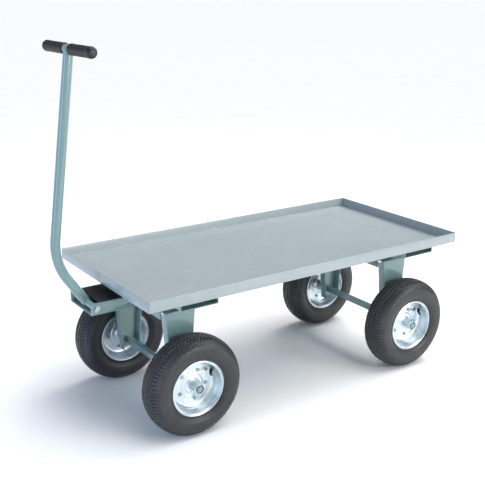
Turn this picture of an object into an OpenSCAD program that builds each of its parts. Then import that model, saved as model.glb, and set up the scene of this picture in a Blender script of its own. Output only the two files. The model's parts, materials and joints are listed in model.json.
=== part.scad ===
// Fifth-wheel platform wagon: a shallow steel tray on two axles with pneumatic
// wheels, a turntable front axle, a draw frame and a folding gooseneck handle.
// Millimetres. +X towards the handle, +Y to the wagon's left, +Z up, floor at z = 0.
// The origin is on the floor under the middle of the wagon's overall box.

/* [Deck tray] */
// Length of the tray
deck_length = 1524; // [1100:1:2000]
// Width of the tray
deck_width = 762; // [620:1:1000]
// Thickness of the tray sheet
deck_sheet = 3; // [2:0.5:6]
// Height of the lip, from the underside of the sheet
lip_height = 43.6; // [20:0.1:120]
// Outer radius of the tray's upright corners
deck_corner_r = 7; // [4:0.5:30]

/* [Cross members] */
// Length of each cross member along the wagon
cross_length = 160; // [120:1:260]
// Height of each cross member
cross_height = 24; // [20:0.5:60]
// Thickness of the cross member sheet
cross_sheet = 3; // [2:0.5:6]
// Distance from the tray's side to the end of each cross member
cross_inset = 11; // [0:1:60]

/* [Wheels] */
// Outer radius of the tyres
tyre_radius = 200; // [180:1:240]
// Overall width of the tyres
tyre_width = 123; // [105:1:140]
// Thickness of the tyre casing
tyre_wall = 7.5; // [5:0.5:14]
// Radius of the rim's bead seat
bead_radius = 101.6; // [90:0.1:115]
// Thickness of the pressed rim halves
rim_sheet = 2.5; // [2:0.1:4]
// Distance between the centre planes of the left and right wheels
track = 601.8; // [580:0.1:800]
// Distance between the axles
wheelbase = 1098; // [900:1:1400]
// Outer radius of the hub tube
hub_radius = 21; // [19:0.5:26]
// Length of the hub tube
hub_length = 120; // [100:1:140]
// Radius of the circle of rim bolts
rim_bolt_circle_r = 60; // [40:1:75]
// Diameter of the axle shafts
axle_d = 19; // [15:0.5:25]

/* [Legs and saddles] */
// Distance between the outer faces of the legs
leg_span = 460; // [400:1:464]
// Width of a leg at its top, along the wagon
leg_top_w = 132; // [100:1:158]
// Width of a leg at the axle's height
leg_axle_w = 83; // [60:1:120]
// Depth of a leg's flanges
leg_depth = 38; // [20:1:60]
// Distance from the axle's centre down to the end of a leg
leg_tail = 35; // [20:1:80]
// Thickness of the leg and saddle plate
leg_plate = 5; // [3:0.5:8]
// Height of the top of the saddles above the floor
saddle_z = 475; // [445:1:560]
// Outside size of the square axle beam
beam_size = 25; // [24:0.5:40]

/* [Turntable] */
// Radius of the lower turntable plate
race_radius = 94; // [80:1:120]
// Thickness of each turntable plate
race_plate = 4; // [3.5:0.5:8]
// Gap between the turntable plates
race_gap = 3; // [2:0.5:5]
// Diameter of the turntable balls
ball_d = 6; // [5:0.5:8]
// Number of turntable balls
ball_count = 36; // [12:1:48]
// Radius of the circle of balls
ball_circle_r = 78; // [60:1:88]
// Diameter of the king bolt
king_d = 20; // [16:1:30]

/* [Draw frame] */
// Outside width of the draw frame
draw_width = 193; // [150:1:240]
// Height of the draw frame's side bars
draw_height = 45; // [42:1:60]
// Thickness of the side bars
draw_bar_t = 8; // [4:0.5:10]
// Thickness of the floor and cover plates
draw_plate = 3; // [2:0.5:5]
// Distance from the front axle to the front end of the draw frame
draw_reach = 301; // [260:1:400]
// Distance from the front end of the draw frame back to the handle's pivot
pivot_setback = 23; // [20:1:60]
// Diameter of the pivot bolt
pivot_d = 16; // [12:1:20]
// Outer diameter of the pivot sleeve
sleeve_d = 26; // [22:1:34]

/* [Handle] */
// Outer diameter of the pole
pole_d = 37; // [30:0.5:42]
// Wall of the pole and of the T-bar
pole_wall = 3; // [2:0.5:5]
// Angle of the pole's foot above level
foot_angle = 56; // [45:1:70]
// Straight length of the foot
foot_length = 124; // [60:1:200]
// Radius of the pole's bend
bend_r = 230; // [100:1:400]
// Angle of the pole above its bend
pole_angle = 97.9; // [91:0.1:110]
// Straight length above the bend, to the T-bar's centre
pole_length = 681; // [400:1:900]
// Overall length of the T-bar over its grips
tbar_length = 400; // [250:1:500]
// Outer diameter of the T-bar tube
tbar_d = 32; // [25:0.5:36]
// Outer diameter of the grips
grip_d = 41.5; // [38:0.5:50]
// Bare length of T-bar between the grips
grip_gap = 54; // [45:1:120]

/* [Hidden] */

// Clearances and small shared sizes
run_fit = 0.05;      // radial clearance of a pin or shaft that turns in its bore
seat_fit = 0.05;     // radial clearance of a piece that is fixed in its hole
gap_fit = 0.5;       // clearance between faces that pass each other
collar_rise = 0.05;  // height of the faint collars where the pole's stretches meet
collar_length = 1;   // length of those collars
over = 1;            // how far a cutting shape runs past a face
smooth = 96;         // facets of round pieces

enamel = "slategray";
dark_enamel = "darkslategray";
zinc = "lightsteelblue";
steel = "silver";
rubber = "dimgray";
black = "black";

// Heights
axle_z = tyre_radius;
draw_z = saddle_z;
draw_top_z = draw_z + draw_height;
upper_race_z = draw_top_z + race_plate + race_gap;
cross_z = upper_race_z + race_plate;
deck_z = cross_z + cross_height;
pivot_z = draw_z + draw_height / 2;

// Bolt sizes, as shares of the thread diameter
head_share = 0.85;
head_h_share = 0.6;
king_nut_share = 0.8;
king_tail = 4;
pivot_tail = 4;

// Path of the handle, as offsets from its pivot in the XZ plane
foot_end = foot_length * [cos(foot_angle), sin(foot_angle)];
pole_start = foot_end + bend_step(bend_r, foot_angle, pole_angle);
tbar_at = pole_start + pole_length * [cos(pole_angle), sin(pole_angle)];
handle_reach = foot_end[0] + bend_r * (1 - sin(foot_angle)) + pole_d / 2;

// Places along the wagon
front_from_deck = wheelbase / 2 + draw_reach - pivot_setback + handle_reach;
deck_x = (deck_length / 2 - front_from_deck) / 2;
front_x = deck_x + wheelbase / 2;
rear_x = deck_x - wheelbase / 2;
draw_front_x = front_x + draw_reach;
draw_rear_x = front_x - leg_top_w / 2;
pivot_x = draw_front_x - pivot_setback;

// Widths
draw_inner_w = draw_width - 2 * draw_bar_t;
cross_width = deck_width - 2 * cross_inset;
leg_inner_y = leg_span / 2 - leg_depth;
sleeve_end_gap = 1;
sleeve_length = draw_inner_w - 2 * sleeve_end_gap;
cover_lap = 1;
cover_front_x = pivot_x - sleeve_d / 2 + cover_lap;
saddle_flange_gap = 2;
grip_end_wall = 5;
grip_end_r = 8;

// Wheel details
wheel_y = track / 2;
hub_half = hub_length / 2;
hub_wall = 3.5;
hub_step = 2;
bearing_r = hub_radius - hub_wall;
bearing_w = 12;
bearing_recess = 9;
cap_wall = 2.5;
cap_end = 2;
cap_r = axle_d / 2 + cap_wall;
collar_r = axle_d / 2 + 4.5;
axle_half = wheel_y + hub_half;

// Rim section: radii, then distances from the wheel's centre plane
well_drop = 7;
flange_rise = 10.1;
flange_inset = 13;
flange_lean = 3;
well_r = bead_radius - well_drop;
flange_r = bead_radius + flange_rise;
flange_u = tyre_width / 2 - flange_inset;
bead_u = flange_u - flange_lean;
bead_toe_u = 30;
well_edge_u = 22;
well_corner = [7, 6];
roll_r = 3;
roll_at = [flange_r - roll_r, flange_u + 0.8];

// Tyre section
bead_seat_gap = 0.9;
bead_width = 11;
bead_height = 18;
casing_r = (tyre_radius + bead_radius + 0.4) / 2;
casing_h = tyre_radius - casing_r;
casing_w = tyre_width / 2;
casing_power = 0.83;
groove_places = [0.21, 0.52];
groove_depth = 3.5;
groove_w = 4;

// Inner tube and its valve
tube_wall = 2.5;
tube_gap = 3;
tube_shift = 1.5;
tube_r = min(casing_w, casing_h) - tyre_wall - tube_gap;
valve_angle = -152;
valve_u = 13;
valve_d = 8;
valve_hole_r = 5;
valve_elbow_in = 9;
valve_lean = 28;
valve_length = 28;

// Rim bolts
rim_bolt_d = 8;
rim_bolt_angle = -44;
rim_head_h = 5;
rim_nut_h = 6;
rim_bolt_tail = 2;

// Turntable details
race_mid_z = draw_top_z + race_plate + race_gap / 2;
ball_drop = 0.3;
groove_gap = 0.3;
plate_inset = 6;
plate_margin = 41;
groove_r = ball_d / 2 + groove_gap;
upper_plate = [cross_length - 2 * plate_inset, 2 * (race_radius + plate_margin)];
turntable_bolt_d = 10;
turntable_bolt_at = [upper_plate[0] / 2 - 20, race_radius + 22];
turntable_head_h = 5;
turntable_bolt_tail = 3;
spacer_length = 120;
spacer_width = 300;
spacer_wall = 5;

// Displacement along an arc that turns from angle a to angle b
function bend_step(r, a, b) = r * [sin(b) - sin(a), cos(a) - cos(b)];

// Signed power, for rounded-square sections
function signed_pow(v, p) = sign(v) * pow(abs(v), p);

// Points of a rounded-square ring section, centred at radius r
function casing_points(r, h, w, steps, p) = [
    for (i = [0 : steps - 1])
        let (a = 360 * i / steps)
        [r + h * signed_pow(sin(a), p), w * signed_pow(cos(a), p)]
];

// Half-width of a leg at height z
function leg_half(z) =
    let (slope = (leg_top_w - leg_axle_w) / 2 / (saddle_z - axle_z))
    leg_axle_w / 2 + slope * (z - axle_z);

// ---- shared shapes ----

module rounded_plate(l, w, r, h) {
    linear_extrude(h) {
        square([l - 2 * r, w], center = true);
        square([l, w - 2 * r], center = true);
        for (sx = [-1, 1], sy = [-1, 1])
            translate([sx * (l / 2 - r), sy * (w / 2 - r)])
                circle(r, $fn = 32);
    }
}

module centred_box(l, w, h) {
    translate([-l / 2, -w / 2, 0])
        cube([l, w, h]);
}

module y_rod(r, y0, y1) {
    translate([0, y0, 0])
        rotate([-90, 0, 0])
            cylinder(r = r, h = y1 - y0, $fn = smooth);
}

// Hexagon head on +Z, for a thread of diameter d
module hex(d, h) {
    cylinder(r = d * head_share, h = h, $fn = 6);
}

// Hexagon nut on +Z, bored for its bolt
module hex_nut(d, h) {
    difference() {
        hex(d, h);
        translate([0, 0, -over])
            cylinder(r = d / 2 + seat_fit, h = h + 2 * over, $fn = smooth);
    }
}

// Round bar in the XZ plane, from a point along an angle
module bar_straight(d, from, angle, length) {
    translate([from[0], 0, from[1]])
        rotate([0, 90 - angle, 0])
            cylinder(d = d, h = length, $fn = smooth);
}

// Round bar that bends in the XZ plane from angle a to angle b
module bar_bend(d, from, bend_r, a, b) {
    translate([from[0] - bend_r * sin(a), 0, from[1] + bend_r * cos(a)])
        rotate([90, 0, 0])
            rotate([0, 0, a - 90])
                rotate_extrude(angle = b - a, $fn = 192)
                    translate([bend_r, 0])
                        circle(d = d, $fn = smooth);
}

// ---- chassis ----

module deck_tray() {
    color(enamel)
        translate([deck_x, 0, deck_z])
            difference() {
                rounded_plate(deck_length, deck_width, deck_corner_r, lip_height);
                translate([0, 0, deck_sheet])
                    rounded_plate(deck_length - 2 * deck_sheet, deck_width - 2 * deck_sheet,
                        max(deck_corner_r - deck_sheet, 0.5), lip_height);
            }
}

module crossmember(x, with_turntable) {
    color(enamel)
        translate([x, 0, cross_z])
            difference() {
                centred_box(cross_length, cross_width, cross_height);
                translate([0, 0, cross_sheet])
                    centred_box(cross_length - 2 * cross_sheet, cross_width + 2 * over, cross_height);
                if (with_turntable) {
                    translate([0, 0, -over])
                        cylinder(r = king_d / 2 + seat_fit, h = cross_sheet + 2 * over, $fn = smooth);
                    turntable_bolt_places(-over)
                        cylinder(r = turntable_bolt_d / 2 + seat_fit, h = cross_sheet + 2 * over,
                            $fn = 48);
                }
            }
}

module front_crossmember() {
    crossmember(front_x, true);
}

module rear_crossmember() {
    crossmember(rear_x, false);
}

module turntable_bolt_places(z) {
    for (sx = [-1, 1], sy = [-1, 1])
        translate([sx * turntable_bolt_at[0], sy * turntable_bolt_at[1], z])
            children();
}

module ball_groove() {
    rotate_extrude($fn = smooth)
        translate([ball_circle_r, 0])
            circle(groove_r, $fn = 48);
}

module upper_race() {
    color(dark_enamel)
        translate([front_x, 0, 0])
            difference() {
                translate([0, 0, upper_race_z])
                    centred_box(upper_plate[0], upper_plate[1], race_plate);
                translate([0, 0, race_mid_z])
                    ball_groove();
                translate([0, 0, upper_race_z - over])
                    cylinder(r = king_d / 2 + seat_fit, h = race_plate + 2 * over, $fn = smooth);
                turntable_bolt_places(upper_race_z - over)
                    cylinder(r = turntable_bolt_d / 2 + seat_fit, h = race_plate + 2 * over, $fn = 48);
            }
}

module turntable_bolts() {
    clamp_h = race_plate + cross_sheet;
    nut_h = turntable_bolt_d * head_h_share;
    color(zinc)
        translate([front_x, 0, 0])
            turntable_bolt_places(upper_race_z) {
                translate([0, 0, -turntable_head_h])
                    hex(turntable_bolt_d, turntable_head_h);
                cylinder(d = turntable_bolt_d, h = clamp_h + nut_h + turntable_bolt_tail, $fn = 48);
                translate([0, 0, clamp_h])
                    hex_nut(turntable_bolt_d, nut_h);
            }
}

module king_bolt() {
    top_z = cross_z + cross_sheet;
    low_z = saddle_z - leg_plate - king_d - king_tail;
    color(zinc)
        translate([front_x, 0, 0]) {
            translate([0, 0, low_z])
                cylinder(d = king_d, h = top_z - low_z, $fn = smooth);
            translate([0, 0, top_z])
                hex(king_d, king_d * head_h_share);
        }
}

module king_nut() {
    nut_h = king_d * king_nut_share;
    color(zinc)
        translate([front_x, 0, saddle_z - leg_plate - gap_fit - nut_h])
            hex_nut(king_d, nut_h);
}

// ---- axle units ----

module saddle(x, bolt_hole) {
    flange_w = 2 * (leg_inner_y - saddle_flange_gap);
    color(enamel)
        translate([x, 0, 0])
            difference() {
                union() {
                    translate([0, 0, saddle_z - leg_plate])
                        centred_box(leg_top_w, leg_span, leg_plate);
                    for (s = [-1, 1])
                        translate([s * (leg_top_w - leg_plate) / 2, 0, saddle_z - leg_depth])
                            centred_box(leg_plate, flange_w, leg_depth);
                }
                if (bolt_hole)
                    translate([0, 0, saddle_z - leg_plate - over])
                        cylinder(r = king_d / 2 + run_fit, h = leg_plate + 2 * over, $fn = smooth);
            }
}

// Side outline of a leg, inset by t on its two sloping edges
module leg_outline(t, low, high) {
    polygon([
        [-leg_half(low) + t, low], [leg_half(low) - t, low],
        [leg_half(high) - t, high], [-leg_half(high) + t, high]
    ]);
}

module leg(x, side) {
    low = axle_z - leg_tail;
    high = saddle_z - leg_plate;
    color(enamel)
        translate([x, side * leg_span / 2, 0])
            rotate([90, 0, 0])
                difference() {
                    mirror([0, 0, side < 0 ? 1 : 0])
                        linear_extrude(leg_depth)
                            leg_outline(0, low, high);
                    mirror([0, 0, side < 0 ? 1 : 0])
                        translate([0, 0, leg_plate])
                            linear_extrude(leg_depth)
                                leg_outline(leg_plate, low - over, high + over);
                    translate([0, axle_z, -leg_depth - over])
                        cylinder(r = axle_d / 2 + seat_fit, h = 2 * leg_depth + 2 * over, $fn = smooth);
                }
}

module axle_beam(x) {
    beam_y = leg_span - 2 * leg_plate;
    bore = axle_d + 2 * gap_fit;
    color(enamel)
        translate([x, 0, axle_z])
            difference() {
                translate([-beam_size / 2, -beam_y / 2, -beam_size / 2])
                    cube([beam_size, beam_y, beam_size]);
                translate([-bore / 2, -beam_y / 2 - over, -bore / 2])
                    cube([bore, beam_y + 2 * over, bore]);
            }
}

// Round shaft with a thrust collar outside each leg
module axle_shaft(x) {
    collar_end = wheel_y - hub_half - gap_fit;
    color(steel)
        translate([x, 0, axle_z]) {
            y_rod(axle_d / 2, -axle_half, axle_half);
            y_rod(collar_r, leg_span / 2, collar_end);
            y_rod(collar_r, -collar_end, -leg_span / 2);
        }
}

module axle_cap(side) {
    inner = wheel_y + hub_half - bearing_recess + gap_fit;
    depth = axle_half - inner;
    mirror([0, side < 0 ? 1 : 0, 0])
        translate([0, inner, 0])
            rotate([-90, 0, 0])
                difference() {
                    cylinder(r = cap_r, h = depth + cap_end, $fn = smooth);
                    translate([0, 0, -over])
                        cylinder(r = axle_d / 2 + seat_fit, h = depth + over, $fn = smooth);
                }
}

module axle_caps(x) {
    color(enamel)
        translate([x, 0, axle_z])
            for (side = [-1, 1])
                axle_cap(side);
}

module rear_saddle() {
    saddle(rear_x, false);
}

module rear_leg_left() {
    leg(rear_x, 1);
}

module rear_leg_right() {
    leg(rear_x, -1);
}

module rear_axle_beam() {
    axle_beam(rear_x);
}

module rear_axle() {
    axle_shaft(rear_x);
}

module rear_axle_caps() {
    axle_caps(rear_x);
}

// Open box section that carries the fixed rear cross member
module rear_spacer() {
    height = cross_z - saddle_z;
    color(enamel)
        translate([rear_x, 0, saddle_z])
            difference() {
                centred_box(spacer_length, spacer_width, height);
                translate([0, 0, spacer_wall])
                    centred_box(spacer_length - 2 * spacer_wall, spacer_width + 2 * over,
                        height - 2 * spacer_wall);
            }
}

module front_saddle() {
    saddle(front_x, true);
}

module front_leg_left() {
    leg(front_x, 1);
}

module front_leg_right() {
    leg(front_x, -1);
}

module front_axle_beam() {
    axle_beam(front_x);
}

module front_axle() {
    axle_shaft(front_x);
}

module front_axle_caps() {
    axle_caps(front_x);
}

// ---- turntable and draw frame ----

module lower_race() {
    color(dark_enamel)
        translate([front_x, 0, 0])
            difference() {
                translate([0, 0, draw_top_z])
                    cylinder(r = race_radius, h = race_plate, $fn = smooth);
                translate([0, 0, race_mid_z])
                    ball_groove();
                translate([0, 0, draw_top_z - over])
                    cylinder(r = king_d / 2 + run_fit, h = race_plate + 2 * over, $fn = smooth);
            }
}

module race_balls() {
    color(steel)
        translate([front_x, 0, race_mid_z - ball_drop])
            for (i = [0 : ball_count - 1])
                rotate([0, 0, 360 * i / ball_count])
                    translate([ball_circle_r, 0, 0])
                        sphere(d = ball_d, $fn = 24);
}

module draw_bar(side) {
    color(enamel)
        difference() {
            translate([draw_rear_x, side * (draw_width - draw_bar_t) / 2 - draw_bar_t / 2, draw_z])
                cube([draw_front_x - draw_rear_x, draw_bar_t, draw_height]);
            translate([pivot_x, 0, pivot_z])
                y_rod(pivot_d / 2 + seat_fit, -draw_width, draw_width);
        }
}

module draw_bar_left() {
    draw_bar(1);
}

module draw_bar_right() {
    draw_bar(-1);
}

module king_hole(z, h) {
    translate([front_x, 0, z - over])
        cylinder(r = king_d / 2 + gap_fit, h = h + 2 * over, $fn = smooth);
}

// Floor between the bars; its front edge stops the handle when it swings down
module draw_floor() {
    color(enamel)
        difference() {
            translate([draw_rear_x, -draw_inner_w / 2, draw_z])
                cube([draw_front_x - draw_rear_x, draw_inner_w, draw_plate]);
            king_hole(draw_z, draw_plate);
        }
}

module draw_cover() {
    color(black)
        difference() {
            translate([draw_rear_x, -draw_inner_w / 2, draw_top_z - draw_plate])
                cube([cover_front_x - draw_rear_x, draw_inner_w, draw_plate]);
            king_hole(draw_top_z - draw_plate, draw_plate);
        }
}

module pivot_bolt() {
    head_h = pivot_d * head_h_share;
    half = draw_width / 2;
    color(zinc)
        translate([pivot_x, 0, pivot_z]) {
            y_rod(pivot_d / 2, -half - head_h - pivot_tail, half);
            translate([0, half, 0])
                rotate([-90, 0, 0])
                    hex(pivot_d, head_h);
            translate([0, -half - head_h, 0])
                rotate([-90, 0, 0])
                    hex_nut(pivot_d, head_h);
        }
}

// ---- handle ----

// Faint collar that joins two stretches of bar where they meet
module joint_collar(d, at, angle) {
    translate([at[0], 0, at[1]])
        rotate([0, 90 - angle, 0])
            translate([0, 0, -collar_length / 2])
                cylinder(d = d + 2 * collar_rise, h = collar_length, $fn = smooth);
}

// Solid bar along the handle's path, longer by extra at both ends
module pole_bar(d, extra) {
    start = -extra * [cos(foot_angle), sin(foot_angle)];
    bar_straight(d, start, foot_angle, foot_length + extra);
    joint_collar(d, foot_end, foot_angle);
    bar_bend(d, foot_end, bend_r, foot_angle, pole_angle);
    joint_collar(d, pole_start, pole_angle);
    bar_straight(d, pole_start, pole_angle, pole_length + extra);
}

module handle_pole() {
    color(enamel)
        translate([pivot_x, 0, pivot_z])
            difference() {
                pole_bar(pole_d, 0);
                pole_bar(pole_d - 2 * pole_wall, over);
                y_rod(sleeve_d / 2 + seat_fit, -pole_d, pole_d);
                translate([tbar_at[0], 0, tbar_at[1]])
                    y_rod(tbar_d / 2 + seat_fit, -pole_d, pole_d);
            }
}

module pivot_sleeve() {
    color(enamel)
        translate([pivot_x, 0, pivot_z])
            difference() {
                y_rod(sleeve_d / 2, -sleeve_length / 2, sleeve_length / 2);
                y_rod(pivot_d / 2 + run_fit, -sleeve_length, sleeve_length);
            }
}

module tbar() {
    half = tbar_length / 2 - grip_end_wall;
    color(enamel)
        translate([pivot_x + tbar_at[0], 0, pivot_z + tbar_at[1]])
            difference() {
                y_rod(tbar_d / 2, -half, half);
                y_rod(tbar_d / 2 - pole_wall, -half - over, half + over);
            }
}

// Moulded grip with a closed, rounded end
module grip(side) {
    length = (tbar_length - grip_gap) / 2;
    bore_depth = length - grip_end_wall;
    color(black)
        translate([pivot_x + tbar_at[0], side * grip_gap / 2, pivot_z + tbar_at[1]])
            rotate([side < 0 ? 90 : -90, 0, 0])
                difference() {
                    rotate_extrude($fn = smooth) {
                        square([grip_d / 2, length - grip_end_r]);
                        square([grip_d / 2 - grip_end_r, length]);
                        intersection() {
                            translate([grip_d / 2 - grip_end_r, length - grip_end_r])
                                circle(grip_end_r, $fn = 48);
                            square([grip_d, length]);
                        }
                    }
                    translate([0, 0, -over])
                        cylinder(r = tbar_d / 2 + seat_fit, h = bore_depth + over, $fn = smooth);
                }
}

module grip_left() {
    grip(1);
}

module grip_right() {
    grip(-1);
}

// ---- wheels ----
// A wheel is drawn about its own axis: radius outwards, +Z towards the outside.

module wheel_at(x, side) {
    translate([x, side * wheel_y, axle_z])
        rotate([0, 0, side < 0 ? 180 : 0])
            rotate([-90, 0, 0])
                children();
}

// Cross-section of the bead on the outer side
module bead_section() {
    toe_u = bead_u - bead_width;
    seat_r = bead_radius + bead_seat_gap;
    top_r = bead_radius + bead_height;
    polygon([
        [seat_r, toe_u], [seat_r, bead_u - bead_seat_gap], [flange_r, bead_u + 0.4],
        [top_r, bead_u - 2], [top_r, toe_u + 4], [top_r - 5, toe_u]
    ]);
}

module tyre_section() {
    toe_u = bead_u - bead_width;
    difference() {
        polygon(casing_points(casing_r, casing_h, casing_w, 64, casing_power));
        polygon(casing_points(casing_r, casing_h - tyre_wall, casing_w - tyre_wall, 64, casing_power));
        translate([0, -toe_u])
            square([casing_r - casing_h * 0.6, 2 * toe_u]);
        for (s = [-1, 1], u = groove_places)
            translate([tyre_radius - groove_depth, s * u * casing_w - groove_w / 2])
                square([groove_depth + over, groove_w]);
    }
    bead_section();
    mirror([0, 1])
        bead_section();
}

module tyre() {
    color(rubber)
        rotate_extrude($fn = smooth)
            tyre_section();
}

module inner_tube() {
    mid_r = casing_r + tube_shift;
    root_r = mid_r - tube_r + tube_wall / 2;
    color(black) {
        rotate_extrude($fn = smooth)
            translate([mid_r, 0])
                difference() {
                    circle(tube_r, $fn = 64);
                    circle(tube_r - tube_wall, $fn = 64);
                }
        rotate([0, 0, valve_angle]) {
            translate([root_r + 1, 0, valve_u])
                rotate([0, -90, 0])
                    cylinder(d = valve_d, h = root_r + 2 - well_r + valve_elbow_in, $fn = 32);
            translate([well_r - valve_elbow_in, 0, valve_u])
                rotate([0, -valve_lean, 0])
                    cylinder(d = valve_d, h = valve_length, $fn = 32);
        }
    }
}

// Cross-section of one pressed rim half
module rim_section() {
    t = rim_sheet;
    bore = hub_radius + seat_fit;
    outside = [
        [bore, 0], [well_r - well_corner[0], 0], [well_r, well_corner[1]], [well_r, well_edge_u],
        [bead_radius, bead_toe_u], [bead_radius + 0.8, bead_u], [flange_r, bead_u + 0.8]
    ];
    inside = [
        [flange_r, flange_u], [bead_radius + 1, flange_u - 0.4], [bead_radius - 1.7, bead_u],
        [bead_radius - t, bead_toe_u + 1], [well_r - t, well_edge_u + 1],
        [well_r - t, well_corner[1] + 1], [well_r - well_corner[0] - 1, t], [bore, t]
    ];
    polygon(concat(outside, inside));
    translate(roll_at)
        circle(roll_r, $fn = 32);
}

module rim_half(with_valve) {
    turn = rim_bolt_angle;
    color(zinc)
        difference() {
            rotate_extrude($fn = smooth)
                rim_section();
            for (i = [0 : 4])
                rotate([0, 0, turn + 72 * i])
                    translate([rim_bolt_circle_r, 0, -over])
                        cylinder(r = rim_bolt_d / 2 + seat_fit, h = rim_sheet + 2 * over, $fn = 32);
            if (with_valve)
                rotate([0, 0, valve_angle])
                    translate([well_r - 5, 0, valve_u])
                        rotate([0, 90, 0])
                            cylinder(r = valve_hole_r, h = 10, $fn = 48);
        }
}

module hub() {
    color(zinc)
        difference() {
            translate([0, 0, -hub_half])
                cylinder(r = hub_radius, h = hub_length, $fn = smooth);
            translate([0, 0, -hub_half - over])
                cylinder(r = bearing_r - hub_step, h = hub_length + 2 * over, $fn = smooth);
            translate([0, 0, hub_half - bearing_recess - bearing_w])
                cylinder(r = bearing_r + seat_fit, h = bearing_recess + bearing_w + over, $fn = smooth);
            translate([0, 0, -hub_half - over])
                cylinder(r = bearing_r + seat_fit, h = bearing_w + over, $fn = smooth);
        }
}

module bearings() {
    color(steel)
        for (z = [-hub_half, hub_half - bearing_recess - bearing_w])
            translate([0, 0, z])
                difference() {
                    cylinder(r = bearing_r, h = bearing_w, $fn = smooth);
                    translate([0, 0, -over])
                        cylinder(r = axle_d / 2 + run_fit, h = bearing_w + 2 * over, $fn = smooth);
                }
}

module rim_bolts() {
    color(zinc)
        for (i = [0 : 4])
            rotate([0, 0, rim_bolt_angle + 72 * i])
                translate([rim_bolt_circle_r, 0, 0]) {
                    translate([0, 0, -rim_sheet - rim_nut_h - rim_bolt_tail])
                        cylinder(d = rim_bolt_d, h = 2 * rim_sheet + rim_nut_h + rim_bolt_tail, $fn = 32);
                    translate([0, 0, rim_sheet])
                        hex(rim_bolt_d, rim_head_h);
                    translate([0, 0, -rim_sheet - rim_nut_h])
                        hex_nut(rim_bolt_d, rim_nut_h);
                }
}

module wheel_piece(x, side, piece) {
    wheel_at(x, side) {
        if (piece == "tyre") tyre();
        if (piece == "tube") inner_tube();
        if (piece == "rim_outer") rim_half(true);
        if (piece == "rim_inner") mirror([0, 0, 1]) rim_half(false);
        if (piece == "hub") hub();
        if (piece == "bearings") bearings();
        if (piece == "bolts") rim_bolts();
    }
}

deck_tray();
front_crossmember();
rear_crossmember();
upper_race();
turntable_bolts();
king_bolt();
king_nut();
rear_spacer();
rear_saddle();
rear_leg_left();
rear_leg_right();
rear_axle_beam();
rear_axle();
rear_axle_caps();
lower_race();
race_balls();
front_saddle();
front_leg_left();
front_leg_right();
front_axle_beam();
front_axle();
front_axle_caps();
draw_bar_left();
draw_bar_right();
draw_floor();
draw_cover();
pivot_bolt();
handle_pole();
pivot_sleeve();
tbar();
grip_left();
grip_right();
wheel_piece(front_x, 1, "tyre");  // front_left_tyre
wheel_piece(front_x, 1, "tube");  // front_left_tube
wheel_piece(front_x, 1, "rim_outer");  // front_left_rim_outer
wheel_piece(front_x, 1, "rim_inner");  // front_left_rim_inner
wheel_piece(front_x, 1, "hub");  // front_left_hub
wheel_piece(front_x, 1, "bearings");  // front_left_bearings
wheel_piece(front_x, 1, "bolts");  // front_left_bolts
wheel_piece(front_x, -1, "tyre");  // front_right_tyre
wheel_piece(front_x, -1, "tube");  // front_right_tube
wheel_piece(front_x, -1, "rim_outer");  // front_right_rim_outer
wheel_piece(front_x, -1, "rim_inner");  // front_right_rim_inner
wheel_piece(front_x, -1, "hub");  // front_right_hub
wheel_piece(front_x, -1, "bearings");  // front_right_bearings
wheel_piece(front_x, -1, "bolts");  // front_right_bolts
wheel_piece(rear_x, 1, "tyre");  // rear_left_tyre
wheel_piece(rear_x, 1, "tube");  // rear_left_tube
wheel_piece(rear_x, 1, "rim_outer");  // rear_left_rim_outer
wheel_piece(rear_x, 1, "rim_inner");  // rear_left_rim_inner
wheel_piece(rear_x, 1, "hub");  // rear_left_hub
wheel_piece(rear_x, 1, "bearings");  // rear_left_bearings
wheel_piece(rear_x, 1, "bolts");  // rear_left_bolts
wheel_piece(rear_x, -1, "tyre");  // rear_right_tyre
wheel_piece(rear_x, -1, "tube");  // rear_right_tube
wheel_piece(rear_x, -1, "rim_outer");  // rear_right_rim_outer
wheel_piece(rear_x, -1, "rim_inner");  // rear_right_rim_inner
wheel_piece(rear_x, -1, "hub");  // rear_right_hub
wheel_piece(rear_x, -1, "bearings");  // rear_right_bearings
wheel_piece(rear_x, -1, "bolts");  // rear_right_bolts
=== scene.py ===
"""Looks of a fifth-wheel platform wagon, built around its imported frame.

Metres, +X towards the pull handle, +Y to the wagon's left, +Z up, floor at z = 0.
"""

import json
import logging
import math
from dataclasses import dataclass, field
from enum import Enum
from typing import Callable, Sequence

import bmesh
import bpy
from mathutils import Matrix, Vector


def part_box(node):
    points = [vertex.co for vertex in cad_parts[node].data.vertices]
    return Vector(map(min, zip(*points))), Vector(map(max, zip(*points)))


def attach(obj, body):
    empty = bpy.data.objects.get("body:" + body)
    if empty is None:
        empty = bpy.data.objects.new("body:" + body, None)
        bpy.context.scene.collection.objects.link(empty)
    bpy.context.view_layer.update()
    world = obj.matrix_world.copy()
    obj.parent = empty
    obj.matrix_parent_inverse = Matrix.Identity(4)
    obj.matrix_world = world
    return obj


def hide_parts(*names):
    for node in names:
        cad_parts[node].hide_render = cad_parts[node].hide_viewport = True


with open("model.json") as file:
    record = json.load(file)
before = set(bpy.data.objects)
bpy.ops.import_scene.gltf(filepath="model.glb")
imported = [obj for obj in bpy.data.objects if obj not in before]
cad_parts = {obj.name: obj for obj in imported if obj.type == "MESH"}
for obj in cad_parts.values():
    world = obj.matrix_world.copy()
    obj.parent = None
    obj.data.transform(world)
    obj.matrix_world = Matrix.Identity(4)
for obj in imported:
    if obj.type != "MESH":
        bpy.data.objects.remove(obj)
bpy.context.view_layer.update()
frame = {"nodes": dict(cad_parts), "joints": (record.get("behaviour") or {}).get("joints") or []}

log = logging.getLogger("platform_wagon")

MM = 0.001
Point = tuple[float, float]
Colour = tuple[float, float, float]
Value = bpy.types.NodeSocket | float | Sequence[float]


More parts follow.
